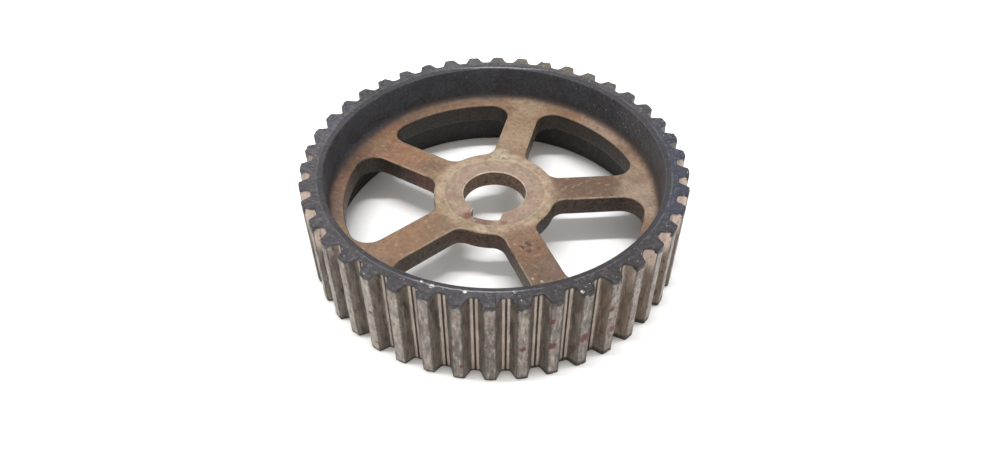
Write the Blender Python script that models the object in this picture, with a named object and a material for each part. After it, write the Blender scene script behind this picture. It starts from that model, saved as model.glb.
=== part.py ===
"""A camshaft timing belt pulley, pressed and sintered from steel powder as one piece.

Metres, +Z up. The shaft axis is Z, the lower end of the rim lies on Z = 0, and the keyway points to -Y.
The five spokes stand evenly about the keyway, so one of them points to +Y, and a tooth gap lies on the
keyway's own line.
"""

from math import asin, atan2, cos, pi, radians, sin, sqrt, tan

import bmesh
import bpy

# Belt and teeth: an 8 mm pitch belt runs with its pitch line a little outside the tooth tips.
TEETH = 42
BELT_PITCH = 0.008
PITCH_LINE_HEIGHT = 0.000686
TIP_RADIUS = TEETH * BELT_PITCH / (2 * pi) - PITCH_LINE_HEIGHT
TOOTH_HEIGHT = 0.00285
GAP_TOP_WIDTH = 0.00504
GAP_BOTTOM_WIDTH = 0.0024
ROOT_FILLET = 0.0009
TIP_CHAMFER = 0.0003

# Rim: a plain ring under the teeth, with a narrow eased band round the mouth of each recess.
RIM_WIDTH = 0.028
RIM_BORE_RADIUS = 0.0465
MOUTH_BAND_RADIUS = 0.048
MOUTH_BAND_DROP = 0.0003

# Web: one flat plate across the middle of the rim, filleted into it.
WEB_THICKNESS = 0.006
WEB_BOTTOM = 0.01065
WEB_TOP = WEB_BOTTOM + WEB_THICKNESS
RIM_FILLET = 0.0022

# Windows between the spokes.
SPOKES = 5
SPOKE_WIDTH = 0.0095
WINDOW_OUTER_RADIUS = 0.0424
WINDOW_INNER_RADIUS = 0.01725
WINDOW_OUTER_CORNER = 0.0055
WINDOW_INNER_CORNER = 0.004

# Hub: bore, with a longer chamfer below where the camshaft goes in, the round seat that the bolt's washer
# sits on, and the wide keyway.
BORE_RADIUS = 0.0089
BORE_CHAMFER = 0.0004
BORE_LEAD_IN = 0.0008
SEAT_RADIUS = 0.0142
SEAT_DEPTH = 0.0002
KEYWAY_WIDTH = 0.0084
KEYWAY_RADIUS = 0.0117
KEYWAY_DIRECTION = radians(-90)

# How finely round shapes are divided. Two segments to a tooth put a corner on every tooth and every gap.
SEGMENTS = 2 * TEETH
FILLET_STEPS = 2
CORNER_STEPS = 4
WINDOW_OUTER_STEPS = 9
WINDOW_INNER_STEPS = 3
KEYWAY_END_STEPS = 4
CUT_PAST = 0.002


def clear_scene():
    for obj in list(bpy.data.objects):
        bpy.data.objects.remove(obj, do_unlink=True)


def add_object(name, bm):
    """Turns a finished bmesh into an object whose faces point outwards."""
    bmesh.ops.recalc_face_normals(bm, faces=bm.faces)
    mesh = bpy.data.meshes.new(name)
    bm.to_mesh(mesh)
    bm.free()
    obj = bpy.data.objects.new(name, mesh)
    bpy.context.scene.collection.objects.link(obj)
    return obj


def arc(centre, radius, start, end, steps):
    """Points on an arc, both ends included, with angles in radians."""
    angles = [start + (end - start) * i / steps for i in range(steps + 1)]
    return [(centre[0] + radius * cos(a), centre[1] + radius * sin(a)) for a in angles]


def turned(points, angle):
    """The same outline turned about the shaft axis."""
    return [(x * cos(angle) - y * sin(angle), x * sin(angle) + y * cos(angle)) for x, y in points]


def add_prism(bm, outline, bottom, top):
    """A closed straight prism over an outline in the XY plane."""
    floor = bm.faces.new([bm.verts.new((x, y, bottom)) for x, y in outline])
    raised = bmesh.ops.extrude_face_region(bm, geom=[floor], use_keep_orig=True)
    verts = [item for item in raised["geom"] if isinstance(item, bmesh.types.BMVert)]
    bmesh.ops.translate(bm, verts=verts, vec=(0, 0, top - bottom))


def add_cutter(name, outlines, bottom, top):
    """One hidden object that holds a separate prism for each outline."""
    bm = bmesh.new()
    for outline in outlines:
        add_prism(bm, outline, bottom, top)
    cutter = add_object(name, bm)
    cutter.display_type = "WIRE"
    cutter.hide_render = True
    return cutter


def blank_profile():
    """The turned section before any cut, as (radius, height), once round the outline."""
    lower_mouth = [(MOUTH_BAND_RADIUS, 0), (RIM_BORE_RADIUS, MOUTH_BAND_DROP)]
    upper_mouth = [(RIM_BORE_RADIUS, RIM_WIDTH - MOUTH_BAND_DROP), (MOUTH_BAND_RADIUS, RIM_WIDTH)]
    fillet_radius = RIM_BORE_RADIUS - RIM_FILLET
    lower_fillet = arc((fillet_radius, WEB_BOTTOM - RIM_FILLET), RIM_FILLET, 0, pi / 2, FILLET_STEPS)
    upper_fillet = arc((fillet_radius, WEB_TOP + RIM_FILLET), RIM_FILLET, -pi / 2, 0, FILLET_STEPS)
    seat = WEB_TOP - SEAT_DEPTH
    hub = [
        (BORE_RADIUS + BORE_LEAD_IN, WEB_BOTTOM),
        (BORE_RADIUS, WEB_BOTTOM + BORE_LEAD_IN),
        (BORE_RADIUS, seat - BORE_CHAMFER),
        (BORE_RADIUS + BORE_CHAMFER, seat),
        (SEAT_RADIUS, seat),
        (SEAT_RADIUS, WEB_TOP),
    ]
    outside = [(TIP_RADIUS, RIM_WIDTH), (TIP_RADIUS, 0)]
    return outside + lower_mouth + lower_fillet + hub + upper_fillet + upper_mouth


def add_blank():
    """The ring that the profile sweeps out about the shaft axis."""
    bm = bmesh.new()
    verts = [bm.verts.new((radius, 0, height)) for radius, height in blank_profile()]
    edges = [bm.edges.new((a, b)) for a, b in zip(verts, verts[1:] + verts[:1])]
    bmesh.ops.spin(
        bm,
        geom=verts + edges,
        cent=(0, 0, 0),
        axis=(0, 0, 1),
        angle=2 * pi,
        steps=SEGMENTS,
        use_merge=True,
    )
    return add_object("timing_pulley", bm)


def gap_outline():
    """One tooth gap, drawn across the +X axis: rounded root, straight flanks and eased tooth tips."""
    flank = atan2((GAP_TOP_WIDTH - GAP_BOTTOM_WIDTH) / 2, TOOTH_HEIGHT)
    root = TIP_RADIUS - TOOTH_HEIGHT
    # The fillet's centre sits one radius above the root and one radius inside the flank.
    centre_y = GAP_BOTTOM_WIDTH / 2 - ROOT_FILLET * tan(pi / 4 - flank / 2)
    fillet = arc((root + ROOT_FILLET, centre_y), ROOT_FILLET, pi, pi / 2 + flank, FILLET_STEPS)
    chamfer_start = (TIP_RADIUS - TIP_CHAMFER, GAP_TOP_WIDTH / 2 - TIP_CHAMFER * tan(flank))
    chamfer_end = (TIP_RADIUS + TIP_CHAMFER / 2, GAP_TOP_WIDTH / 2 + TIP_CHAMFER)
    half = fillet + [chamfer_start, chamfer_end, (TIP_RADIUS + CUT_PAST, chamfer_end[1])]
    return half + [(x, -y) for x, y in reversed(half)]


def add_gap_cutter():
    pitch = 2 * pi / TEETH
    outlines = [turned(gap_outline(), (i + 0.5) * pitch) for i in range(TEETH)]
    return add_cutter("tooth_gap_cutter", outlines, -CUT_PAST, RIM_WIDTH + CUT_PAST)


def window_side():
    """One side of a window beside a spoke on +X, from the hub's arc out to the rim's arc."""
    edge = SPOKE_WIDTH / 2
    inner_y = edge + WINDOW_INNER_CORNER
    inner = (sqrt((WINDOW_INNER_RADIUS + WINDOW_INNER_CORNER) ** 2 - inner_y**2), inner_y)
    outer_y = edge + WINDOW_OUTER_CORNER
    outer = (sqrt((WINDOW_OUTER_RADIUS - WINDOW_OUTER_CORNER) ** 2 - outer_y**2), outer_y)
    hub_end = arc(inner, WINDOW_INNER_CORNER, atan2(inner[1], inner[0]) + pi, 3 * pi / 2, CORNER_STEPS)
    rim_end = arc(outer, WINDOW_OUTER_CORNER, -pi / 2, atan2(outer[1], outer[0]), CORNER_STEPS)
    return hub_end + rim_end


def window_outline():
    """A whole window, from a spoke on +X to the next spoke."""
    spacing = 2 * pi / SPOKES
    side = window_side()
    other = turned([(x, -y) for x, y in side], spacing)
    rim_angle = atan2(side[-1][1], side[-1][0])
    hub_angle = atan2(side[0][1], side[0][0])
    rim = arc((0, 0), WINDOW_OUTER_RADIUS, rim_angle, spacing - rim_angle, WINDOW_OUTER_STEPS)
    hub = arc((0, 0), WINDOW_INNER_RADIUS, spacing - hub_angle, hub_angle, WINDOW_INNER_STEPS)
    return side + rim[1:-1] + other[::-1] + hub[1:-1]


def add_window_cutter():
    first_spoke = KEYWAY_DIRECTION + pi / SPOKES
    outlines = [turned(window_outline(), first_spoke + 2 * pi * i / SPOKES) for i in range(SPOKES)]
    return add_cutter("window_cutter", outlines, WEB_BOTTOM - CUT_PAST, WEB_TOP + CUT_PAST)


def add_keyway_cutter():
    """A straight-sided slot out of the bore, whose far end follows a circle about the shaft."""
    half_angle = asin(KEYWAY_WIDTH / 2 / KEYWAY_RADIUS)
    end = arc((0, 0), KEYWAY_RADIUS, -half_angle, half_angle, KEYWAY_END_STEPS)
    outline = [(0, -KEYWAY_WIDTH / 2)] + end + [(0, KEYWAY_WIDTH / 2)]
    slot = turned(outline, KEYWAY_DIRECTION)
    return add_cutter("keyway_cutter", [slot], WEB_BOTTOM - CUT_PAST, WEB_TOP + CUT_PAST)


def cut(obj, cutter):
    modifier = obj.modifiers.new(cutter.name, "BOOLEAN")
    modifier.operation = "DIFFERENCE"
    modifier.solver = "EXACT"
    modifier.object = cutter


def add_sintered_steel():
    """Oil-darkened sintered steel, a warm grey brown."""
    material = bpy.data.materials.new("sintered_steel")
    material.use_nodes = True
    shader = material.node_tree.nodes["Principled BSDF"]
    shader.inputs["Base Color"].default_value = (0.20, 0.155, 0.125, 1)
    shader.inputs["Roughness"].default_value = 0.55
    shader.inputs["Metallic"].default_value = 0.6
    return material


def add_pulley():
    pulley = add_blank()
    cut(pulley, add_gap_cutter())
    cut(pulley, add_window_cutter())
    cut(pulley, add_keyway_cutter())
    pulley.data.materials.append(add_sintered_steel())
    pulley.data.shade_smooth()
    pulley.data.set_sharp_from_angle(angle=radians(30))


clear_scene()
add_pulley()
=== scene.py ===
"""The looks of a used camshaft timing belt pulley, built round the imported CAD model.

The whole pulley is one piece of sintered steel, so one finely modelled mesh stands for the CAD node. Lengths
are in millimetres until a mesh is made. +Z is the shaft axis, the rim stands on Z = 0, and the keyway points
to -Y.
"""

from math import atan, atan2, cos, hypot, pi, radians, sin, sqrt, tan

import bmesh
import bpy
import numpy as np
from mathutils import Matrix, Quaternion, Vector, noise
from mathutils.geometry import delaunay_2d_cdt
from mathutils.kdtree import KDTree


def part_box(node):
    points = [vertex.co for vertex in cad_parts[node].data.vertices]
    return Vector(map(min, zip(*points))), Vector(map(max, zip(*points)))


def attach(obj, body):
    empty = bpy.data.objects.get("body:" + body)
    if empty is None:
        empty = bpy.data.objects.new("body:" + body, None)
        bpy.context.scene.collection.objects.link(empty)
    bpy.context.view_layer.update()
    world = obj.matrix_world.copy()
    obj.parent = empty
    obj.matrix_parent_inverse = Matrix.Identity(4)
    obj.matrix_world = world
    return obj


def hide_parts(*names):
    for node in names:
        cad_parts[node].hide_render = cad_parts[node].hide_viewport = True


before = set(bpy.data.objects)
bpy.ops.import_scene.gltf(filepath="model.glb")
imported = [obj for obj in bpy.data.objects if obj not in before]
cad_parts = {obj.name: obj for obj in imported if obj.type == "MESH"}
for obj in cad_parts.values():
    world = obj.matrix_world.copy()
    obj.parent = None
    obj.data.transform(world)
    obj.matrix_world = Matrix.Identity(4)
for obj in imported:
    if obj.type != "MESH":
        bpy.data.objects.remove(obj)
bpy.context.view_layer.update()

NODE = "timing_pulley"
MM = 0.001

# The CAD model's sizes. The overall ones come from its box.
low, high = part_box(NODE)
RIM_WIDTH = (high.z - low.z) / MM
TIP_RADIUS = high.x / MM
TEETH = 42
TOOTH_HEIGHT = 2.85
GAP_TOP = 5.04
GAP_BOTTOM = 2.4
ROOT_FILLET = 0.9
RIM_BORE = 46.5
MOUTH_RADIUS = 48.0
WEB_BOTTOM = 10.65
WEB_TOP = 16.65
RIM_FILLET = 2.2
SPOKES = 5
SPOKE_WIDTH = 9.5
WINDOW_OUTER = 42.4
WINDOW_INNER = 17.25
WINDOW_OUTER_CORNER = 5.5
WINDOW_INNER_CORNER = 4.0
BORE = 8.9
BORE_LEAD_IN = 0.8
SEAT_RADIUS = 14.2
SEAT_DEPTH = 0.2
KEYWAY_WIDTH = 8.4
KEYWAY_RADIUS = 11.7
KEYWAY_DIRECTION = radians(-90)

# Fine shape that the CAD model leaves out.
TIP_ROUND = 0.4
END_ROUND = 0.25
LAND_CROWN = 0.03
EDGE_WEAR = 0.16
CHIP_DEPTH = 0.9
CHIP_REACH = 1.2
WINDOW_ROUND = 0.5
BORE_ROUND = 0.4
KEYWAY_MOUTH_ROUND = 0.5
KEYWAY_CORNER = 0.9
TRACK_GROOVE_WIDTH = 0.5
TRACK_GROOVE_DEPTH = 0.12
MOUTH_LIP = 0.35
MOUTH_STRIPS = 5
PITCH = 2 * pi / TEETH
FINISHES = ("rim", "recess", "web", "walls")

# How finely the skin is divided.
RING_POINTS = 12 * TEETH
SEAT_POINTS = 120
SHEET_SPACING = 1.4
WINDOW_SPACING = 0.75
BORE_SPACING = 0.5
RIM_LEVELS = 25
WALL_LEVELS = 6
ROUNDING_STEPS = 3

# Dents in the rim's upper end, as (angle in degrees, distance from the axis, reach, depth).
DENTS = (
    (-93.4, 48.2, 1.3, 0.3),
    (-96.6, 47.8, 0.9, 0.2),
    (-84.0, 48.4, 1.0, 0.2),
    (-53.3, 52.0, 1.2, 0.4),
    (-70.5, 48.3, 0.8, 0.15),
)

# The view and the light.
CAMERA_PLACE = (40.257, -160.112, 160.501)
CAMERA_TARGET = (7.619, -24.802, 28.0)
CAMERA_ROLL = radians(0.276)
CAMERA_LENS = 27.746
SENSOR_WIDTH = 36
TUBE_PLACE = (-80, -20, 1300)
TUBE_DIRECTION = radians(16)
TUBE_LENGTH = 900
TUBE_WIDTH = 70
TUBE_POWER = 14.5
TUBE_COLOUR = (1, 1, 1)
SKY_FRONT = (1.0, 0.955, 0.90)
SKY_BACK = (0.90, 0.97, 1.0)
SKY_STRENGTH = 1.12
FLOOR_SIZE = 6000
FLOOR_COLOUR = (0.9, 0.9, 0.9)
FLOOR_ROUGHNESS = 0.25


# ---------------------------------------------------------------- outlines


def arc(centre, radius, start, end, steps):
    """Points on an arc, both ends included, as an array."""
    angles = np.linspace(start, end, steps + 1)
    return np.stack([centre[0] + radius * np.cos(angles), centre[1] + radius * np.sin(angles)], 1)


def turned(points, angle):
    """The same points turned about the shaft axis."""
    c, s = cos(angle), sin(angle)
    return points @ np.array([[c, s], [-s, c]])


def mirrored(points):
    """The same points reflected in the X axis, in the opposite order."""
    return points[::-1] * [1, -1]


def around(azimuth, radius, height):
    """A place in millimetres from its angle about the shaft, in degrees."""
    return radius * cos(radians(azimuth)), radius * sin(radians(azimuth)), height


def circle(radius, count):
    return arc((0, 0), radius, 0, 2 * pi, count)[:-1]


def resampled(points, spacing):
    """A closed outline with points about evenly spaced along it."""
    closed = np.vstack([points, points[:1]])
    steps = np.hypot(*np.diff(closed, axis=0).T)
    along = np.concatenate([[0], np.cumsum(steps)])
    count = max(8, round(along[-1] / spacing))
    at = np.linspace(0, along[-1], count, endpoint=False)
    return np.stack([np.interp(at, along, closed[:, 0]), np.interp(at, along, closed[:, 1])], 1)


def grown(points, amount):
    """A closed anticlockwise outline moved outwards by amount, along its normals."""
    tangent = np.roll(points, -1, 0) - np.roll(points, 1, 0)
    normal = np.stack([tangent[:, 1], -tangent[:, 0]], 1)
    return points + amount * normal / np.hypot(*normal.T)[:, None]


def corner_centre(radius, edge):
    """Where a corner arc is centred, at this distance from the axis and this height over the X axis."""
    return sqrt(radius**2 - edge**2), edge


def window_outline():
    """A window between a spoke on +X and the next one, anticlockwise."""
    edge = SPOKE_WIDTH / 2
    spacing = 2 * pi / SPOKES
    r_in, r_out = WINDOW_INNER_CORNER, WINDOW_OUTER_CORNER
    inner = corner_centre(WINDOW_INNER + r_in, edge + r_in)
    outer = corner_centre(WINDOW_OUTER - r_out, edge + r_out)
    hub_end = arc(inner, r_in, atan2(inner[1], inner[0]) + pi, 3 * pi / 2, 16)
    rim_end = arc(outer, r_out, -pi / 2, atan2(outer[1], outer[0]), 20)
    side = np.vstack([hub_end, rim_end])
    other = turned(mirrored(side), spacing)
    rim_angle = atan2(side[-1, 1], side[-1, 0])
    hub_angle = atan2(side[0, 1], side[0, 0])
    rim = arc((0, 0), WINDOW_OUTER, rim_angle, spacing - rim_angle, 60)
    hub = arc((0, 0), WINDOW_INNER, spacing - hub_angle, hub_angle, 20)
    return np.vstack([side, rim[1:-1], other, hub[1:-1]])


def window_outlines():
    """All the windows at their own angles, with points evenly spaced."""
    outline = resampled(window_outline(), WINDOW_SPACING)
    first_spoke = KEYWAY_DIRECTION + pi / SPOKES
    return [turned(outline, first_spoke + 2 * pi * i / SPOKES) for i in range(SPOKES)]


def bore_outline():
    """The bore with its keyway, anticlockwise."""
    half = KEYWAY_WIDTH / 2
    r_mouth, r_end = KEYWAY_MOUTH_ROUND, KEYWAY_CORNER
    mouth = corner_centre(BORE + r_mouth, half + r_mouth)
    end = corner_centre(KEYWAY_RADIUS - r_end, half - r_end)
    mouth_angle = atan2(mouth[1], mouth[0])
    end_angle = atan2(end[1], end[0])
    far = arc((0, 0), KEYWAY_RADIUS, 0, end_angle, 8)
    far_corner = arc(end, r_end, end_angle, pi / 2, 6)
    near_corner = arc(mouth, r_mouth, -pi / 2, mouth_angle - pi, 6)
    half_bore = arc((0, 0), BORE, mouth_angle, pi, 48)
    upper = np.vstack([far, far_corner[1:], near_corner, half_bore[1:]])
    whole = np.vstack([upper, mirrored(upper)[1:-1]])
    return turned(resampled(whole, BORE_SPACING), KEYWAY_DIRECTION)


def half_gap():
    """Half of a tooth gap and half of the tooth beside it, as (distance across, depth below the tips)."""
    flank = atan((GAP_TOP - GAP_BOTTOM) / 2 / TOOTH_HEIGHT)
    turn = tan(pi / 4 - flank / 2)
    groove = TRACK_GROOVE_WIDTH / 2
    floor_end = GAP_BOTTOM / 2 - ROOT_FILLET * turn
    floor = [(0, TOOTH_HEIGHT), (groove * 0.6, TOOTH_HEIGHT), (groove, TOOTH_HEIGHT), (0.5, TOOTH_HEIGHT)]
    root = arc((floor_end, TOOTH_HEIGHT - ROOT_FILLET), ROOT_FILLET, pi / 2, flank, 5)
    tip_x = GAP_TOP / 2 + TIP_ROUND * turn
    tip = arc((tip_x, TIP_ROUND + LAND_CROWN), TIP_ROUND, pi + flank, 3 * pi / 2, 4)
    side = np.linspace(root[-1], tip[0], 5)[1:-1]
    half_land = pi * TIP_RADIUS / TEETH - tip_x
    land = [(tip_x + half_land * share, LAND_CROWN * (1 - share) ** 2) for share in (0.33, 0.7, 1)]
    return np.vstack([floor, root, side, tip, land])


def toothed_outline():
    """All the gaps and teeth, anticlockwise, with each point's distance across from its gap's middle line."""
    half = half_gap()
    whole = np.vstack([half[::-1] * [-1, 1], half[1:-1]])
    across, depth = whole.T
    points, distances = [], []
    for i in range(TEETH):
        angle = (i + 0.5) * PITCH + across / TIP_RADIUS
        radius = TIP_RADIUS - depth
        points.append(np.stack([radius * np.cos(angle), radius * np.sin(angle)], 1))
        distances.append(across)
    return np.vstack(points), np.concatenate(distances)


# ---------------------------------------------------------------- the mesh


class Skin:
    """Collects the points and faces of one closed surface, with the finish that each face has."""

    def __init__(self):
        self.points = []
        self.faces = []
        self.finishes = []
        self.finish = None

    def add_face(self, corners):
        self.faces.append(corners)
        self.finishes.append(FINISHES.index(self.finish))

    def loop(self, outline, height):
        """Adds a closed loop of points and returns their numbers."""
        start = len(self.points)
        heights = np.broadcast_to(height, len(outline))
        self.points.extend((x, y, z) for (x, y), z in zip(outline, heights))
        return list(range(start, len(self.points)))

    def bridge(self, a, b):
        """Quads from loop a to loop b, which is on the left of someone walking along a on the outside."""
        for i in range(len(a)):
            j = (i + 1) % len(a)
            self.add_face((a[i], a[j], b[j], b[i]))

    def tube(self, loops):
        for a, b in zip(loops, loops[1:]):
            self.bridge(a, b)

    def zip_up(self, outer, inner, up):
        """Triangles between two loops about the axis with different numbers of points."""
        angle = lambda n: atan2(self.points[n][1], self.points[n][0]) % (2 * pi)
        order = [sorted(loop, key=angle) for loop in (outer, inner)]
        angles = [[angle(n) for n in loop] + [2 * pi + angle(loop[0])] for loop in order]
        a, b = (loop + loop[:1] for loop in order)
        i = j = 0
        while i < len(outer) or j < len(inner):
            step_outer = j == len(inner) or (i < len(outer) and angles[0][i + 1] <= angles[1][j + 1])
            if step_outer:
                face = (a[i], a[i + 1], b[j])
                i += 1
            else:
                face = (a[i], b[j + 1], b[j])
                j += 1
            self.add_face(face if up else face[::-1])

    def sheet(self, outer, holes, height, up):
        """A flat face inside one loop and outside others, in small even triangles."""
        borders = [outer, *holes]
        numbers = [n for border in borders for n in border]
        flat = [self.points[n][:2] for n in numbers]
        edges, start = [], 0
        for border in borders:
            count = len(border)
            edges += [(start + i, start + (i + 1) % count) for i in range(count)]
            start += count
        outlines = [np.array([self.points[n][:2] for n in border]) for border in borders]
        inner = self.spread(outlines)
        numbers += self.loop(inner, height)
        coords = [Vector(p) for p in flat] + [Vector(p) for p in inner]
        points, _, faces, originals, _, _ = delaunay_2d_cdt(coords, edges, [], 0, 1e-6)
        points = np.array([tuple(p) for p in points])
        faces = np.array(faces)
        inside = within(points[faces].mean(1), outlines)
        for face in faces[inside]:
            face = tuple(numbers[originals[n][0]] for n in face)
            self.add_face(face if up else face[::-1])

    def spread(self, outlines):
        """Points of an even triangular grid that are inside the sheet and clear of its borders."""
        reach = np.abs(outlines[0]).max()
        rows = np.arange(-reach, reach, SHEET_SPACING * sqrt(3) / 2)
        columns = np.arange(-reach, reach, SHEET_SPACING)
        grid = [(x + SHEET_SPACING / 2 * (n % 2), y) for n, y in enumerate(rows) for x in columns]
        grid = np.array(grid)
        grid = grid[within(grid, outlines)]
        border = np.vstack(outlines)
        tree = KDTree(len(border))
        for n, (x, y) in enumerate(border):
            tree.insert((x, y, 0), n)
        tree.balance()
        return np.array([p for p in grid if tree.find((*p, 0))[2] > 0.6 * SHEET_SPACING])


def within(points, outlines):
    """For each point, whether it is inside an odd number of these closed outlines."""
    x, y = points[:, :1], points[:, 1:]
    crossings = np.zeros(len(points), int)
    for outline in outlines:
        x0, y0 = outline.T
        x1, y1 = np.roll(outline, -1, 0).T
        spans = (y0 > y) != (y1 > y)
        with np.errstate(divide="ignore", invalid="ignore"):
            hit = x < x0 + (y - y0) * (x1 - x0) / (y1 - y0)
        crossings += (spans & hit).sum(1)
    return crossings % 2 == 1


def smooth(value, start, end):
    """0 before start, 1 after end, and an S curve between them. End may be below start."""
    share = np.clip((value - start) / (end - start), 0, 1)
    return share * share * (3 - 2 * share)


def rounding(radius, steps):
    """(inset, rise) along a quarter round, from the flat face to the side wall."""
    angles = np.linspace(0, pi / 2, steps + 1)
    return [(radius * (1 - sin(a)), radius * (1 - cos(a))) for a in angles]


def rough(outline, height, size, seed):
    """Smooth noise from -1 to 1 at each point of a loop, with features of about this size in millimetres."""
    return np.array([noise.noise(Vector((x, y, height + seed)) / size) for x, y in outline])


def toothed_band(skin):
    """The outside of the rim, with chipped ends and worn edges. Returns its lowest and highest loops."""
    outline, across = toothed_outline()
    radius = np.hypot(*outline.T)
    near_tip = np.clip(1 - (TIP_RADIUS - radius) / 2, 0, 1)
    corner = smooth(np.abs(np.abs(across) - GAP_TOP / 2 - 0.2), 0.55, 0.1) * near_tip
    groove = TRACK_GROOVE_DEPTH * (np.abs(across) < 0.45 * TRACK_GROOVE_WIDTH)
    chips = [rough(outline, 0, 1.1, seed) + rough(outline, 0, 3.2, seed + 7) for seed in (20, 60)]
    chips = [CHIP_DEPTH * np.clip(chip - 0.25, 0, 0.8) * near_tip for chip in chips]
    ends = rounding(END_ROUND, ROUNDING_STEPS)
    rows = list(ends)
    rows += [(0, z) for z in np.linspace(CHIP_REACH / 2, RIM_WIDTH - CHIP_REACH / 2, RIM_LEVELS)]
    rows += [(inset, RIM_WIDTH - rise) for inset, rise in reversed(ends)]
    loops = []
    for inset, z in rows:
        from_end = min(z, RIM_WIDTH - z)
        depth = groove * smooth(from_end, 0.9, 2.2)
        depth = depth + chips[int(z > RIM_WIDTH / 2)] * max(0, 1 - from_end / CHIP_REACH) ** 2
        depth = depth + EDGE_WEAR * corner * np.clip(rough(outline, z, 1.7, 90) + 0.25, 0, 1)
        row = outline * ((radius - depth) / radius)[:, None]
        loops.append(skin.loop(grown(row, -inset), z))
    skin.tube(loops)
    return loops[0], loops[-1]


def rim_end(skin, edge, height, up):
    """The flat end of the rim and its teeth, from the toothed edge to the mouth. Returns the inner loop."""
    rim = np.array([skin.points[n][:2] for n in edge])
    angles = np.arctan2(rim[:, 1], rim[:, 0])
    root = TIP_RADIUS - TOOTH_HEIGHT - END_ROUND
    loops = [edge]
    for inset in (0.3, 0.9):
        radius = np.minimum(np.hypot(*rim.T) - inset, root + 1.2 - inset)
        loops.append(skin.loop(np.stack([radius * np.cos(angles), radius * np.sin(angles)], 1), height))
    for a, b in zip(loops, loops[1:]):
        skin.bridge(a, b) if up else skin.bridge(b, a)
    inner = skin.loop(circle(MOUTH_RADIUS + MOUTH_LIP, RING_POINTS), height)
    skin.zip_up(loops[-1], inner, up)
    return inner


def recess(skin, mouth, height, web, up):
    """The band round a mouth, the wall of the recess and its fillet. Returns the loop where the web starts.

    The band has the rim's finish.
    """
    side = 1 if up else -1
    level = lambda depth: height - side * depth
    profile = [(MOUTH_RADIUS + 0.08, 0.0), (MOUTH_RADIUS - 0.1, 0.04), (MOUTH_RADIUS - 0.6, 0.14)]
    profile += [(RIM_BORE + 0.45, 0.22), (RIM_BORE + 0.2, 0.3), (RIM_BORE + 0.05, 0.44), (RIM_BORE, 0.7)]
    rows = [(radius, level(depth)) for radius, depth in profile]
    fillet_top = web + side * RIM_FILLET
    rows += [(RIM_BORE, z) for z in np.linspace(level(0.7), fillet_top, 7)[1:-1]]
    fillet = arc((RIM_BORE - RIM_FILLET, fillet_top), RIM_FILLET, 0, -side * pi / 2, 7)
    rows += [tuple(p) for p in fillet]
    loops = [mouth] + [skin.loop(circle(radius, RING_POINTS), z) for radius, z in rows]
    for k, (a, b) in enumerate(zip(loops, loops[1:])):
        skin.finish = "rim" if k < MOUTH_STRIPS else "recess"
        skin.bridge(a, b) if up else skin.bridge(b, a)
    return loops[-1]


def opening(skin, outline, top, bottom, edge_round, lead_in=None):
    """A hole right through, with rounded edges, or with a chamfer as its lower edge.

    Returns its loops in the upper and the lower face.
    """
    upper = rounding(edge_round, ROUNDING_STEPS)
    lower = [(0, lead_in), (lead_in, 0)] if lead_in else upper[::-1]
    rows = [(inset, top - rise) for inset, rise in upper]
    rows += [(0, z) for z in np.linspace(rows[-1][1], bottom + lower[0][1], WALL_LEVELS)[1:-1]]
    rows += [(inset, bottom + rise) for inset, rise in lower]
    loops = [skin.loop(grown(outline, inset), z) for inset, z in rows]
    skin.finish = "web"
    skin.tube(loops[: len(upper)])
    skin.finish = "walls"
    skin.tube(loops[len(upper) - 1 :])
    return loops[0], loops[-1]


def build_pulley():
    """The whole pulley as one closed skin."""
    skin = Skin()
    skin.finish = "rim"
    lowest, highest = toothed_band(skin)
    upper_mouth = rim_end(skin, highest, RIM_WIDTH, up=True)
    lower_mouth = rim_end(skin, lowest, 0, up=False)
    upper_web = recess(skin, upper_mouth, RIM_WIDTH, WEB_TOP, up=True)
    lower_web = recess(skin, lower_mouth, 0, WEB_BOTTOM, up=False)
    windows = [opening(skin, o, WEB_TOP, WEB_BOTTOM, WINDOW_ROUND) for o in window_outlines()]
    seat = WEB_TOP - SEAT_DEPTH
    bore = opening(skin, bore_outline(), seat, WEB_BOTTOM, BORE_ROUND, BORE_LEAD_IN)
    step = [(SEAT_RADIUS + 0.12, WEB_TOP), (SEAT_RADIUS, WEB_TOP - 0.05), (SEAT_RADIUS - 0.1, seat)]
    rings = [skin.loop(circle(radius, SEAT_POINTS), z) for radius, z in step]
    skin.finish = "web"
    skin.tube(rings)
    skin.sheet(upper_web, [w[0] for w in windows] + [rings[0]], WEB_TOP, up=True)
    skin.sheet(rings[-1], [bore[0]], seat, up=True)
    skin.sheet(lower_web, [w[1] for w in windows] + [bore[1]], WEB_BOTTOM, up=False)
    return skin


def dented(points):
    """The same points with the dents pressed into the rim's upper end."""
    for azimuth, radius, reach, depth in DENTS:
        apart = points - around(azimuth, radius, RIM_WIDTH)
        points[:, 2] -= depth * smooth(np.linalg.norm(apart, axis=1), reach, 0)
    return points


def add_skin(name, skin):
    mesh = bpy.data.meshes.new(name)
    mesh.from_pydata(dented(np.array(skin.points)) * MM, [], skin.faces)
    mesh.polygons.foreach_set("material_index", skin.finishes)
    mesh.validate()
    mesh.shade_smooth()
    obj = bpy.data.objects.new(name, mesh)
    bpy.context.scene.collection.objects.link(obj)
    return obj


# ---------------------------------------------------------------- the material


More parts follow.
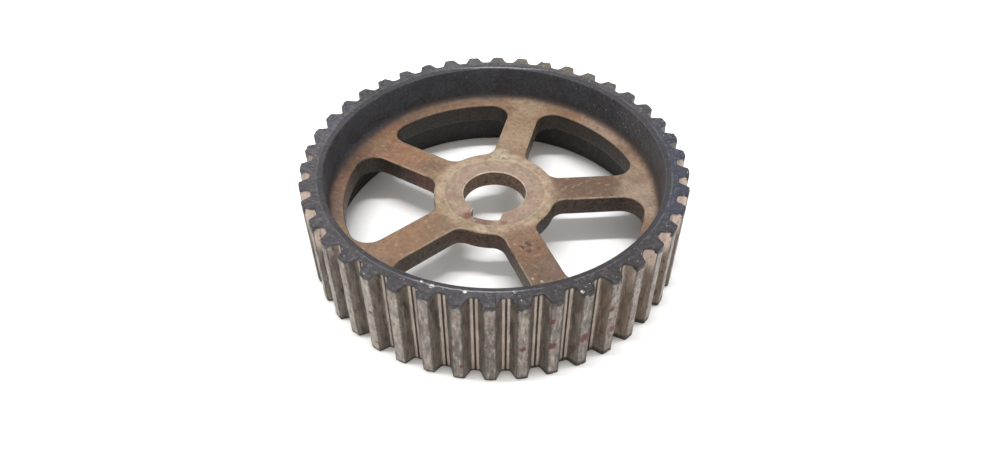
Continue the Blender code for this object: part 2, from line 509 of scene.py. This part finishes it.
class Field:
    """A number at each point of a surface, worked out by shader nodes and combined by ordinary arithmetic."""

    def __init__(self, graph, socket):
        self.graph = graph
        self.socket = socket

    def __add__(self, other):
        return self.graph.math("ADD", self, other)

    def __sub__(self, other):
        return self.graph.math("SUBTRACT", self, other)

    def __rsub__(self, other):
        return self.graph.math("SUBTRACT", other, self)

    def __mul__(self, other):
        return self.graph.math("MULTIPLY", self, other)

    def __truediv__(self, other):
        return self.graph.math("DIVIDE", self, other)

    __radd__ = __add__
    __rmul__ = __mul__

    def within(self, start, end):
        """0 before start, 1 after end, smooth between them. End may be below start."""
        node = self.graph.node("ShaderNodeMapRange", interpolation_type="SMOOTHSTEP")
        for name, value in (("Value", self), ("From Min", start), ("From Max", end)):
            self.graph.set(node.inputs[name], value)
        return Field(self.graph, node.outputs["Result"])


class Graph:
    """One material's nodes. Its lengths are in millimetres, from the pulley's own axis."""

    def __init__(self, name):
        self.material = bpy.data.materials.new(name)
        self.material.use_nodes = True
        self.tree = self.material.node_tree
        self.shader = self.tree.nodes["Principled BSDF"]
        place = self.node("ShaderNodeTexCoord").outputs["Object"]
        self.place = self.vector("SCALE", place, Scale=1 / MM)
        apart = self.node("ShaderNodeSeparateXYZ")
        self.tree.links.new(self.place, apart.inputs[0])
        self.x, self.y, self.z = (Field(self, socket) for socket in apart.outputs)
        self.radius = self.math("SQRT", self.x * self.x + self.y * self.y)
        self.from_top = RIM_WIDTH - self.z
        self.from_end = lesser(self.from_top, self.z)

    def node(self, kind, **settings):
        node = self.tree.nodes.new(kind)
        for name, value in settings.items():
            setattr(node, name, value)
        return node

    def set(self, socket, value):
        """Links a field or a socket, or sets a plain value."""
        if isinstance(value, Field):
            value = value.socket
        if isinstance(value, bpy.types.NodeSocket):
            self.tree.links.new(value, socket)
        elif socket.type == "RGBA" and len(value) == 3:
            socket.default_value = (*value, 1)
        else:
            socket.default_value = value

    def math(self, operation, *values):
        node = self.node("ShaderNodeMath", operation=operation)
        for socket, value in zip(node.inputs, values):
            self.set(socket, value)
        return Field(self, node.outputs[0])

    def vector(self, operation, *values, **named):
        node = self.node("ShaderNodeVectorMath", operation=operation)
        for socket, value in zip(node.inputs, values):
            self.set(socket, value)
        for name, value in named.items():
            self.set(node.inputs[name], value)
        return node.outputs["Vector"]

    def mix(self, a, b, share):
        """Colour a where share is 0 and colour b where it is 1."""
        node = self.node("ShaderNodeMix", data_type="RGBA")
        self.set(node.inputs[0], share)
        self.set(node.inputs[6], a)
        self.set(node.inputs[7], b)
        return node.outputs[2]

    def ease(self, a, b, share):
        """The same for two numbers."""
        return a + (b - a) * share

    def grain(self, colour, size, seed, darkest, lightest):
        """The colour made darker and lighter in fine grains of about this size in millimetres."""
        tone = self.ease(darkest, lightest, self.noise(size, seed, 3, 0.6).within(0.28, 0.72))
        node = self.node("ShaderNodeHueSaturation")
        self.set(node.inputs["Value"], tone)
        self.set(node.inputs["Color"], colour)
        return node.outputs["Color"]

    def at(self, scale, seed):
        """The place in millimetres, stretched along each axis and moved to a part of the noise of its own."""
        scale = scale if isinstance(scale, tuple) else (scale,) * 3
        return self.vector("MULTIPLY_ADD", self.place, scale, (7.3 * seed, 3.1 * seed, 5.7 * seed))

    def noise(self, size, seed, detail=4.0, roughness=0.55):
        """Smooth noise, mostly between 0.3 and 0.7, whose features are about this size in millimetres."""
        sizes = size if isinstance(size, tuple) else (size,) * 3
        node = self.node("ShaderNodeTexNoise")
        self.set(node.inputs["Vector"], self.at(tuple(1 / s for s in sizes), seed))
        for name, value in (("Scale", 1.0), ("Detail", detail), ("Roughness", roughness)):
            self.set(node.inputs[name], value)
        return Field(self, node.outputs[0])

    def near(self, place, reach, seed=51):
        """1 at a place, given in millimetres, falling raggedly to 0 at this distance from it."""
        node = self.node("ShaderNodeVectorMath", operation="DISTANCE")
        self.set(node.inputs[0], self.place)
        self.set(node.inputs[1], place)
        ragged = (self.noise(reach * 0.5, seed, 4) - 0.5) * reach * 1.1
        return (Field(self, node.outputs["Value"]) + ragged).within(reach, reach * 0.35)

    def spots(self, size, seed, share, ragged=0.3):
        """1 inside scattered spots of about this size in millimetres; a share of the places have one."""
        warp = self.noise(size * 0.4, seed + 40, 2)
        node = self.node("ShaderNodeTexVoronoi")
        self.set(node.inputs["Vector"], self.at(1 / (3 * size), seed))
        self.set(node.inputs["Scale"], 1.0)
        spread = self.node("ShaderNodeSeparateColor")
        self.tree.links.new(node.outputs["Color"], spread.inputs[0])
        present = Field(self, spread.outputs[0]).within(share + 0.01, share - 0.01)
        radius = self.ease(0.08, 0.2, Field(self, spread.outputs[1]))
        distance = Field(self, node.outputs["Distance"]) + (warp - 0.5) * ragged
        return (radius - distance).within(-0.02, 0.03) * present


def either(a, b):
    """The stronger of two masks."""
    return a.graph.math("MAXIMUM", a, b)


def lesser(a, b):
    return a.graph.math("MINIMUM", a, b)


TAN_LIGHT = (0.213, 0.142, 0.091)
TAN = (0.173, 0.108, 0.069)
TAN_DARK = (0.092, 0.053, 0.034)
ORANGE = (0.215, 0.092, 0.046)
OLIVE = (0.17, 0.132, 0.066)
MAUVE = (0.14, 0.083, 0.069)
ROSE = (0.235, 0.161, 0.123)
ROSE_LIGHT = (0.29, 0.212, 0.161)
PALE = (0.37, 0.282, 0.198)
PALE_GREEN = (0.36, 0.31, 0.22)
BEIGE = (0.33, 0.252, 0.195)
RUST = (0.12, 0.029, 0.017)
RUST_DARK = (0.06, 0.022, 0.015)
# Near-black grime; the same colour also stands for painted shade on far web edges, at the teeth's foot and on
# the back window walls.
GRIME_AND_SHADE = (0.016, 0.013, 0.011)
COAT = (0.033, 0.030, 0.035)
COAT_BLUE = (0.021, 0.026, 0.043)
COAT_WARM = (0.019, 0.015, 0.017)
COAT_LIGHT = (0.095, 0.088, 0.094)
COAT_VIOLET = (0.062, 0.055, 0.08)
COAT_OLIVE = (0.125, 0.103, 0.068)
# Pale rubbed metal, also standing for a painted highlight on the mouth's edge.
RUBBED_AND_HIGHLIGHT = (0.33, 0.335, 0.365)
WALL_COAT = (0.042, 0.045, 0.052)
WALL_BROWN = (0.078, 0.051, 0.035)
WALL_RED = (0.13, 0.053, 0.039)
STEEL = (0.197, 0.170, 0.146)
STEEL_DARK = (0.082, 0.069, 0.059)
STEEL_LIGHT = (0.377, 0.340, 0.30)
STEEL_PINK = (0.344, 0.267, 0.23)
TRACK = (0.427, 0.345, 0.295)
FLANK = (0.145, 0.122, 0.098)
FLANK_WARM = (0.15, 0.105, 0.073)
PATCH = (0.56, 0.45, 0.385)
# Near-white for painted glints.
GLINT_WHITE = (0.75, 0.74, 0.72)

SPECULAR = 0.3
ROUGHNESS = 0.5
BARE_METALLIC = 0.4

# Places on the web that differ from the rest, as (place, reach, colour, strength). The dark patches on the
# right and lower-right spokes are painted shade.
WEB_STAINS_AND_SHADE = (
    # Painted shade on the right spoke and on the lower-right spoke.
    (around(18, 27, WEB_TOP), 14, TAN_DARK, 0.88),
    (around(-54, 30, WEB_TOP), 17, TAN_DARK, 0.72),
    (around(-54, 24, WEB_TOP), 9, ORANGE, 0.25),
    (around(90, 28, WEB_TOP), 13, PALE, 0.22),
    (around(164, 31, WEB_TOP), 11, ORANGE, 0.5),
    (around(-126, 29, WEB_TOP), 13, ORANGE, 0.35),
    (around(-126, 22, WEB_TOP), 9, TAN_DARK, 0.2),
    (around(10, 44, WEB_TOP), 12, BEIGE, 0.6),
    (around(30, 44, WEB_TOP), 9, BEIGE, 0.35),
    (around(55, 44, WEB_TOP), 13, BEIGE, 0.45),
    (around(90, 44, WEB_TOP), 9, PALE, 0.5),
    (around(135, 44, WEB_TOP + 1), 13, TAN_DARK, 0.4),
    (around(184, 44, WEB_TOP + 1), 13, WALL_RED, 0.55),
    (around(177, 45, WEB_TOP + 1), 10, TAN_DARK, 0.85),
    (around(-14, 44.5, WEB_TOP), 6, MAUVE, 0.6),
    (around(-6, 46, WEB_TOP + 3), 8, ORANGE, 0.2),
    (around(-27, 45, WEB_TOP + 1), 9, MAUVE, 0.75),
    (around(-46, 34, WEB_TOP), 7, MAUVE, 0.5),
    (around(152, 44, WEB_TOP + 1), 9, ORANGE, 0.5),
    (around(70, 45, WEB_TOP + 2), 8, ORANGE, 0.2),
    (around(99, 17, WEB_TOP), 3.6, PALE_GREEN, 0.75),
    (around(84, 15.6, WEB_TOP), 2.6, PALE_GREEN, 0.5),
    (around(-107, 15.6, WEB_TOP), 2.8, OLIVE, 0.6),
    (around(-141, 15.4, WEB_TOP), 3.2, OLIVE, 0.5),
    (around(-24, 16.4, WEB_TOP), 3.4, OLIVE, 0.45),
    (around(160, 19.5, WEB_TOP), 3.4, TAN_DARK, 0.5),
    (around(-90, 13.2, WEB_TOP), 3.6, TAN_DARK, 0.5),
    (around(-90, 15.6, WEB_TOP), 2.6, PALE, 0.5),
    (around(-158, 43.5, WEB_TOP), 9, MAUVE, 0.6),
    (around(164, 23, WEB_TOP), 4, TAN_DARK, 0.5),
    (around(-58, 23.6, WEB_TOP), 1.1, RUST_DARK, 0.95),
    (around(-53, 23, WEB_TOP), 1.5, RUST_DARK, 0.95),
    (around(-55, 25.4, WEB_TOP), 1.0, RUST_DARK, 0.9),
    (around(-49, 25.6, WEB_TOP), 0.9, RUST, 0.9),
    (around(-57, 36.5, WEB_TOP), 0.6, PALE, 0.95),
    (around(-60, 35, WEB_TOP), 0.5, PALE, 0.95),
    (around(-90, 11.6, WEB_TOP), 3.4, WALL_RED, 0.55),
    (around(157, 38.5, WEB_TOP), 1.1, ORANGE, 0.9),
    (around(-113, 12.4, WEB_TOP), 1.9, RUST, 0.8),
    (around(-66, 13.2, WEB_TOP), 1.5, RUST, 0.6),
    (around(-122, 43.6, WEB_TOP), 1.6, RUST, 0.5),
)


def web_colour(g):
    """Tan varnish over sintered steel: mottled, stained and pitted, with paler rings round the hub. Its pale
    window edges are wear and a painted highlight; the edges facing away and two darker spokes are painted
    shade.
    """
    colour = g.mix(TAN_LIGHT, TAN, g.noise(8, 1, 4, 0.6).within(0.36, 0.6))
    colour = g.mix(colour, ORANGE, g.noise(3.2, 4, 5, 0.6).within(0.5, 0.7) * 0.55)
    colour = g.mix(colour, OLIVE, g.noise(4.3, 5, 5, 0.6).within(0.5, 0.68) * 0.5)
    seat = g.radius.within(SEAT_RADIUS + 0.1, SEAT_RADIUS - 0.1)
    colour = g.mix(colour, g.mix(ROSE, ROSE_LIGHT, g.noise(3.5, 9, 3).within(0.32, 0.68)), seat * 0.85)
    ring = g.radius.within(18.5, 16) * g.radius.within(SEAT_RADIUS, SEAT_RADIUS + 0.2)
    colour = g.mix(colour, PALE, ring * g.ease(0.35, 0.7, g.noise(3, 8, 4).within(0.36, 0.56)))
    for place, reach, tint, share in WEB_STAINS_AND_SHADE:
        colour = g.mix(colour, tint, g.near(place, reach) * share)
    calm = 1 - seat * 0.65
    colour = g.mix(colour, TAN_DARK, g.noise(2.4, 2, 5, 0.62).within(0.52, 0.72) * 0.55 * calm)
    colour = g.mix(colour, PALE, g.noise(1.3, 3, 3, 0.6).within(0.54, 0.74) * 0.4 * calm)
    inside = g.radius.within(SEAT_RADIUS - 0.35, SEAT_RADIUS - 0.05)
    line = inside * g.radius.within(SEAT_RADIUS + 0.45, SEAT_RADIUS + 0.1)
    colour = g.mix(colour, PALE, line * 0.6)
    drop = WEB_TOP - g.z - g.radius.within(SEAT_RADIUS, SEAT_RADIUS - 0.1) * SEAT_DEPTH
    edge = drop.within(0.02, 0.1) * drop.within(0.6, 0.4)
    # Pale rounded window edges: partly wear, partly a painted highlight where the edges catch the light.
    worn = g.noise(3.5, 44, 3).within(0.36, 0.56) * g.radius.within(39, 37)
    colour = g.mix(colour, PALE, edge * worn * 0.8)
    colour = g.mix(colour, PATCH, edge * g.radius.within(10.5, 10) * 0.85)
    # Painted shade: the rounded edges whose normals point to +Y, away from the view, are darkened.
    facing = g.node("ShaderNodeSeparateXYZ")
    g.set(facing.inputs[0], g.node("ShaderNodeTexCoord").outputs["Normal"])
    shaded = Field(g, facing.outputs[1]).within(0.1, 0.5) * g.radius.within(12, 14)
    colour = g.mix(colour, GRIME_AND_SHADE, edge * shaded * 0.85)
    colour = g.grain(colour, 1.1, 10, 0.84, 1.16)
    colour = g.mix(colour, RUST, g.spots(0.8, 6, 0.2) * 0.7)
    return g.mix(colour, GRIME_AND_SHADE, g.spots(0.4, 7, 0.22) * 0.8)


def coat_colour(g):
    """Dark oxide on the rim's ends: violet grey, bluer on one side and browner in front, with pale flecks."""
    colour = g.mix(COAT, COAT_LIGHT, g.noise(5, 12, 4, 0.6).within(0.42, 0.7) * 0.45)
    colour = g.mix(colour, COAT_LIGHT, g.near(around(105, 50, RIM_WIDTH), 30) * 0.18)
    colour = g.mix(colour, COAT_WARM, g.near(around(-100, 51, RIM_WIDTH), 18) * 0.3)
    colour = g.mix(colour, COAT_BLUE, g.near(around(8, 50, RIM_WIDTH), 32) * 0.85)
    colour = g.mix(colour, COAT_WARM, g.near(around(-48, 49, RIM_WIDTH), 34) * 0.85)
    colour = g.mix(colour, COAT_LIGHT, g.near(around(-178, 50, RIM_WIDTH), 22) * 0.35)
    back_teeth = g.near(around(84, 52, RIM_WIDTH), 30) * g.radius.within(48.5, 50.5)
    colour = g.mix(colour, COAT_OLIVE, back_teeth * 0.65)
    colour = g.mix(colour, COAT_VIOLET, g.near(around(174, 50, RIM_WIDTH), 17) * 0.55)
    colour = g.mix(colour, COAT_LIGHT, g.noise(1.2, 15, 4, 0.65).within(0.5, 0.68) * 0.6)
    colour = g.mix(colour, GRIME_AND_SHADE, g.noise(1.4, 13, 4, 0.65).within(0.52, 0.68) * 0.6)
    colour = g.mix(colour, TAN_DARK, g.noise(2.6, 16, 4, 0.6).within(0.56, 0.7) * 0.4)
    crust = g.near(around(155, 52, RIM_WIDTH), 20) * g.noise(0.9, 47, 3).within(0.48, 0.56)
    colour = g.mix(colour, GRIME_AND_SHADE, crust * 0.7)
    colour = g.grain(colour, 0.95, 11, 0.75, 1.28)
    return g.mix(colour, STEEL_LIGHT, g.spots(0.32, 14, 0.25) * 0.8)


def recess_colour(g):
    """The same oxide on the rim's inner wall, nearly black, with dust specks on one side."""
    colour = g.mix(WALL_COAT, COAT_WARM, g.noise(5, 17, 4).within(0.42, 0.62) * 0.35)
    colour = g.mix(colour, COAT_LIGHT, g.near(around(14, 46, 20), 34) * 0.5)
    colour = g.mix(colour, GRIME_AND_SHADE, g.z.within(WEB_BOTTOM + 0.5, WEB_BOTTOM - 1) * 0.8)
    colour = g.mix(colour, COAT_LIGHT, g.noise(0.9, 18, 6, 0.7).within(0.54, 0.7) * 0.4)
    colour = g.grain(colour, 0.8, 21, 0.7, 1.3)
    dust = g.spots(0.38, 19, 0.6) * g.near(around(46, 46, 20), 17)
    return g.mix(colour, STEEL_LIGHT, either(dust, g.spots(0.3, 20, 0.06)) * 0.9)


# Rust on the tooth lands, as (angle in degrees, height, size).
LAND_RUST = (
    (-68.6, 12.1, 1.3),
    (-61.3, 20.8, 1.4),
    (-60.8, 11.5, 1.9),
    (-51.5, 11.0, 2.3),
    (-57.2, 23.8, 0.9),
    (-43.5, 17.6, 1.4),
    (-42.0, 9.5, 1.8),
    (-31.0, 11.6, 2.8),
    (-84.8, 5.0, 0.9),
    (-111, 15.0, 0.8),
)


def land_colour(g, across):
    """The worn tops of the teeth: taupe metal, mottled and streaked, with darker edges, pits and rust."""
    colour = g.mix(STEEL, STEEL_DARK, g.noise((2.2, 2.2, 4), 22, 6, 0.65).within(0.44, 0.64) * 0.75)
    colour = g.mix(colour, STEEL_PINK, g.noise((2.5, 2.5, 5), 25, 4).within(0.48, 0.66) * 0.5)
    colour = g.mix(colour, STEEL_LIGHT, g.near(around(-113, TIP_RADIUS, 14), 24) * 0.38)
    colour = g.mix(colour, MAUVE, g.near(around(-128, TIP_RADIUS, 24), 13) * 0.5)
    colour = g.mix(colour, STEEL_LIGHT, g.near(around(-30, TIP_RADIUS, 13), 24) * 0.45)
    colour = g.mix(colour, STEEL_DARK, g.near(around(-80, TIP_RADIUS, 12), 15) * 0.68)
    colour = g.mix(colour, STEEL_DARK, g.near(around(-54, TIP_RADIUS, 16), 15) * 0.3)
    colour = g.mix(colour, STEEL_LIGHT, g.noise((0.9, 0.9, 4.5), 21, 4, 0.65).within(0.48, 0.7) * 0.65)
    colour = g.mix(colour, GRIME_AND_SHADE, g.noise((1.0, 1.0, 2.2), 26, 5, 0.65).within(0.55, 0.7) * 0.65)
    colour = g.grain(colour, (0.8, 0.8, 2.5), 41, 0.75, 1.28)
    edge = across + (g.noise(0.9, 27, 4) - 0.5) * 0.9
    colour = g.mix(colour, GRIME_AND_SHADE, edge.within(GAP_TOP / 2 + 0.4, GAP_TOP / 2 + 0.1) * 0.65)
    right = g.near(around(-32, TIP_RADIUS, 13), 26)
    colour = g.mix(colour, MAUVE, right * g.noise((3, 3, 5), 50, 3).within(0.42, 0.6) * 0.55)
    specks = g.noise((0.6, 0.6, 0.9), 46, 3).within(0.54, 0.6)
    colour = g.mix(colour, GRIME_AND_SHADE, specks * right * 0.55)
    for azimuth, height, size in LAND_RUST:
        rust = g.near(around(azimuth, TIP_RADIUS, height), size)
        colour = g.mix(colour, g.mix(RUST, RUST_DARK, rust.within(0.6, 1.0) * 0.7), rust * 0.9)
    return g.mix(colour, RUST, g.spots(0.9, 23, 0.1) * 0.6)


def gap_colour(g, across, depth):
    """Between the teeth: brown flanks, and the belt's two bright tracks, one on each side of a dark slit. The
    gap tops at the sides carry a painted highlight.
    """
    streak = g.noise((0.7, 0.7, 6), 28, 5, 0.6)
    flank = g.mix(FLANK, STEEL_DARK, g.noise((2, 2, 7), 29, 4).within(0.42, 0.62))
    flank = g.mix(flank, FLANK_WARM, g.near(around(-30, 50, 14), 26) * 0.75)
    flank = g.mix(flank, STEEL_PINK, streak.within(0.5, 0.7) * 0.5)
    # Painted highlight: the gap tops at the left and right sides of the view, seen edge-on, are made pale.
    sides = either(g.near(around(-150, 50, 26), 26), g.near(around(-8, 50, 26), 34))
    flank = g.mix(flank, PATCH, sides * g.z.within(18, 24) * 0.9)
    flank = g.mix(flank, GRIME_AND_SHADE, g.noise((1.2, 1.2, 3), 30, 5).within(0.56, 0.7) * 0.6)
    wobble = across + (g.noise((0.9, 0.9, 3), 24, 3) - 0.5) * 0.4
    track = wobble.within(0.2, 0.36) * wobble.within(1.0, 0.8)
    root = g.mix(flank, TRACK, track * 0.9)
    root = g.mix(root, GRIME_AND_SHADE, across.within(0.3, 0.16) * 0.9)
    return g.grain(g.mix(flank, root, depth.within(2.2, 2.6)), (0.8, 0.8, 4), 42, 0.8, 1.2)


def wall_colour(g):
    """The sides of the windows and the bore: dark brown, redder on the left, with grime, painted shade on the
    walls at the back and painted glints on an oily patch.
    """
    colour = g.mix(WALL_BROWN, OLIVE, g.noise(5, 33, 4).within(0.5, 0.7) * 0.2)
    colour = g.mix(colour, WALL_RED, g.near(around(150, 20, 14), 16) * 0.8)
    colour = g.mix(colour, WALL_RED, g.noise(6, 36, 3).within(0.55, 0.7) * 0.4)
    colour = g.mix(colour, TAN, g.radius.within(13, 11) * 0.5)
    colour = g.mix(colour, WALL_RED, g.near(around(-90, 17, 14), 9) * 0.35)
    # Painted shade: the walls at the back of the outer window ends and near the outer end of the left window
    # are darkened.
    colour = g.mix(colour, GRIME_AND_SHADE, g.y.within(8, 18) * g.radius.within(36, 40) * 0.88)
    colour = g.mix(colour, GRIME_AND_SHADE, g.near(around(168, 42, 14), 18) * 0.75)
    colour = g.mix(colour, GRIME_AND_SHADE, g.near(around(8, 32, 14), 16) * 0.35)
    # An oily near-black patch by the hub; its pale specks are painted glints.
    oily_and_glints = g.near(around(-18, 20.5, 13), 8)
    colour = g.mix(colour, GRIME_AND_SHADE, oily_and_glints * 0.75)
    colour = g.mix(colour, GRIME_AND_SHADE, g.noise(1.6, 34, 6, 0.65).within(0.48, 0.66) * 0.6)
    colour = g.grain(colour, 0.8, 43, 0.6, 1.5)
    # Painted glints on the oily patch.
    return g.mix(colour, STEEL_LIGHT, g.spots(0.4, 49, 0.7) * oily_and_glints)


def finished(g, colour, bare=0.0):
    """Gives the material its colour, an uneven gloss and a fine grain. Bare is 1 where the metal shows."""
    g.set(g.shader.inputs["Base Color"], colour)
    g.set(g.shader.inputs["Specular IOR Level"], SPECULAR)
    uneven = (g.noise(0.8, 38, 5, 0.7) - 0.5) * 0.6
    if bare:
        g.set(g.shader.inputs["Metallic"], bare * BARE_METALLIC)
        uneven = uneven - bare * 0.05
    g.set(g.shader.inputs["Roughness"], uneven + ROUGHNESS)
    bump = g.node("ShaderNodeBump")
    bump.inputs["Distance"].default_value = MM
    g.set(bump.inputs["Height"], g.noise(0.35, 39, 4, 0.6) * 0.14 + g.noise(1.4, 40, 4) * 0.2)
    g.set(g.shader.inputs["Normal"], bump.outputs[0])
    return g.material


def mouth_colour(g, coat):
    """The end faces' oxide, with the eased band's darker tone, its rubbed edge, partly a painted highlight,
    and its nicks, painted white as glints.
    """
    colour = g.mix(coat, COAT_WARM, g.radius.within(48.1, 47.9) * 0.6)
    back = g.near(around(104, RIM_BORE + 0.5, RIM_WIDTH), 18)
    # The rubbed inner edge of the mouth: a pale line that is partly wear and partly a painted highlight,
    # strongest at the front and the back.
    rub_and_highlight = g.radius + (g.noise(1.1, 35, 5) - 0.5) * 0.7 - g.ease(MOUTH_RADIUS + 0.1, RIM_BORE + 0.6, back)
    line = rub_and_highlight.within(-0.3, 0.0) * rub_and_highlight.within(0.3, 0.0) * g.from_top.within(0.6, 0.4)
    colour = g.mix(colour, COAT_LIGHT, line * g.noise(5, 37, 4).within(0.4, 0.6) * 0.7)
    front = g.near(around(-86, MOUTH_RADIUS, RIM_WIDTH), 18)
    colour = g.mix(colour, RUBBED_AND_HIGHLIGHT, line * either(front * 0.55, back * 0.75))
    broken = g.noise(0.5, 52, 2).within(0.44, 0.54)
    # The dents' chipped facets are painted near-white as glints.
    for azimuth, at_radius, reach, _ in DENTS:
        nick_glint = g.near(around(azimuth, at_radius, RIM_WIDTH), 0.65 * reach) * broken
        colour = g.mix(colour, GLINT_WHITE, nick_glint * 0.9)
    return colour


def rim_material():
    """The toothed face and both end faces. The dark coat still covers the last part of the lands."""
    g = Graph("sintered_rim")
    turn = g.math("ARCTAN2", g.y, g.x) / PITCH
    across = g.math("ABSOLUTE", (g.math("FRACT", turn) - 0.5) * g.radius * PITCH)
    depth = TIP_RADIUS - g.radius
    ragged = (g.noise(1.5, 32, 6, 0.65) - 0.5) * 5
    bare_side = g.near(around(-110, TIP_RADIUS, 27), 20)
    front = g.near(around(-80, TIP_RADIUS, 27), 16)
    left_tooth = g.near(around(-120, TIP_RADIUS, 26), 6)
    worn_teeth = either(left_tooth, g.near(around(-94.3, TIP_RADIUS, 26), 5) * 0.7)
    dark_gaps = g.near(around(150, TIP_RADIUS, 27), 40)
    reach = g.ease(dark_gaps * 4 + 0.5, 1.7, depth.within(1.2, 0.2)) * (1 - bare_side * 0.4 - front * 0.25)
    reach = reach - worn_teeth * 1.3
    top_coat = (g.from_top + ragged * depth.within(2.4, 0.4) - reach).within(0.5, -0.3)
    foot_coat = (g.z + ragged * 0.15).within(0.7, 0.3)
    coated = either(either(top_coat, foot_coat), g.from_end.within(0.35, 0.2))
    coated = either(coated, g.radius.within(48.9, 48.5))
    colour = g.mix(gap_colour(g, across, depth), land_colour(g, across), depth.within(0.45, 0.12))
    colour = g.mix(colour, mouth_colour(g, coat_colour(g)), coated)
    # Painted contact shade: darker towards the floor at the foot of the teeth, in a taller band at the front
    # right.
    foot = g.ease(1.0, 2.2, g.near(around(-40, TIP_RADIUS, 0), 30))
    colour = g.mix(colour, GRIME_AND_SHADE, (g.z + ragged * 0.15).within(foot, foot * 0.5) * 0.8)
    return finished(g, colour, 1 - coated)


def coat_edge(g):
    """Millimetres past the ragged line where the tan varnish starts to go over into the dark oxide."""
    above = g.math("MAXIMUM", g.z - WEB_TOP, WEB_BOTTOM - g.z)
    climb = g.math("MAXIMUM", above, 0.0) + g.math("MAXIMUM", g.radius - (RIM_BORE - RIM_FILLET), 0.0)
    wide = g.near(around(165, 45, WEB_TOP + 2), 24) * g.radius.within(39, 46)
    return climb + (g.noise(3, 31, 5, 0.6) - 0.5) * 3.2 + wide * 1.2


def ledge_colour(g, past):
    """The web's varnish, darker towards the place where the oxide takes over."""
    return g.mix(web_colour(g), TAN_DARK, past.within(-0.6, 2.4) * 0.75)


def recess_material():
    """The walls of the two recesses, where the web's varnish ends."""
    g = Graph("sintered_recess")
    past = coat_edge(g)
    colour = g.mix(ledge_colour(g, past), COAT_WARM, past.within(0.8, 3.6) * 0.8)
    return finished(g, g.mix(colour, recess_colour(g), past.within(2.0, 5.6)))


def web_material():
    g = Graph("sintered_web")
    return finished(g, ledge_colour(g, coat_edge(g)))


def walls_material():
    g = Graph("sintered_walls")
    return finished(g, wall_colour(g))


pulley = add_skin("sintered_pulley", build_pulley())
for make_material in (rim_material, recess_material, web_material, walls_material):
    pulley.data.materials.append(make_material())
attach(pulley, "root")
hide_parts(NODE)


# ---------------------------------------------------------------- the view and the light


def add_camera():
    """A wide lens, looking down on the pulley from the front right."""
    camera = bpy.data.objects.new("camera", bpy.data.cameras.new("camera"))
    camera.data.sensor_width = SENSOR_WIDTH
    camera.data.lens = CAMERA_LENS
    forward = (Vector(CAMERA_TARGET) - Vector(CAMERA_PLACE)).normalized()
    level = forward.to_track_quat("-Z", "Y")
    camera.rotation_mode = "QUATERNION"
    camera.rotation_quaternion = level @ Quaternion((0, 0, 1), CAMERA_ROLL)
    camera.location = Vector(CAMERA_PLACE) * MM
    camera.data.clip_start = 0.005
    camera.data.clip_end = 20
    bpy.context.scene.collection.objects.link(camera)
    bpy.context.scene.camera = camera


def add_tube():
    """A long ceiling tube. Edges that lie along it throw sharp shadows, and edges across it soft ones."""
    lamp = bpy.data.lights.new("ceiling_tube", "AREA")
    lamp.shape = "RECTANGLE"
    lamp.size = TUBE_LENGTH * MM
    lamp.size_y = TUBE_WIDTH * MM
    lamp.energy = TUBE_POWER
    lamp.color = TUBE_COLOUR
    obj = bpy.data.objects.new("ceiling_tube", lamp)
    obj.location = Vector(TUBE_PLACE) * MM
    obj.rotation_euler = (0, 0, TUBE_DIRECTION)
    bpy.context.scene.collection.objects.link(obj)


def add_world():
    """Soft light from all round, a little warmer from the front and cooler from behind."""
    world = bpy.data.worlds.new("studio")
    world.use_nodes = True
    tree = world.node_tree
    place = tree.nodes.new("ShaderNodeTexCoord")
    apart = tree.nodes.new("ShaderNodeSeparateXYZ")
    share = tree.nodes.new("ShaderNodeMapRange")
    blend = tree.nodes.new("ShaderNodeMix")
    blend.data_type = "RGBA"
    share.inputs["From Min"].default_value = -1
    blend.inputs[6].default_value = (*SKY_FRONT, 1)
    blend.inputs[7].default_value = (*SKY_BACK, 1)
    tree.links.new(place.outputs["Generated"], apart.inputs[0])
    tree.links.new(apart.outputs[1], share.inputs["Value"])
    tree.links.new(share.outputs["Result"], blend.inputs[0])
    background = tree.nodes["Background"]
    tree.links.new(blend.outputs[2], background.inputs["Color"])
    background.inputs["Strength"].default_value = SKY_STRENGTH
    bpy.context.scene.world = world


def add_floor():
    """A white table top, wide enough to fill the view."""
    bm = bmesh.new()
    bmesh.ops.create_grid(bm, x_segments=8, y_segments=8, size=FLOOR_SIZE / 2 * MM)
    mesh = bpy.data.meshes.new("floor")
    bm.to_mesh(mesh)
    bm.free()
    floor = bpy.data.objects.new("floor", mesh)
    bpy.context.scene.collection.objects.link(floor)
    material = bpy.data.materials.new("white_table")
    material.use_nodes = True
    shader = material.node_tree.nodes["Principled BSDF"]
    shader.inputs["Base Color"].default_value = (*FLOOR_COLOUR, 1)
    shader.inputs["Roughness"].default_value = FLOOR_ROUGHNESS
    floor.data.materials.append(material)


add_camera()
add_world()
add_tube()
add_floor()
bpy.context.scene.view_settings.view_transform = "Standard"
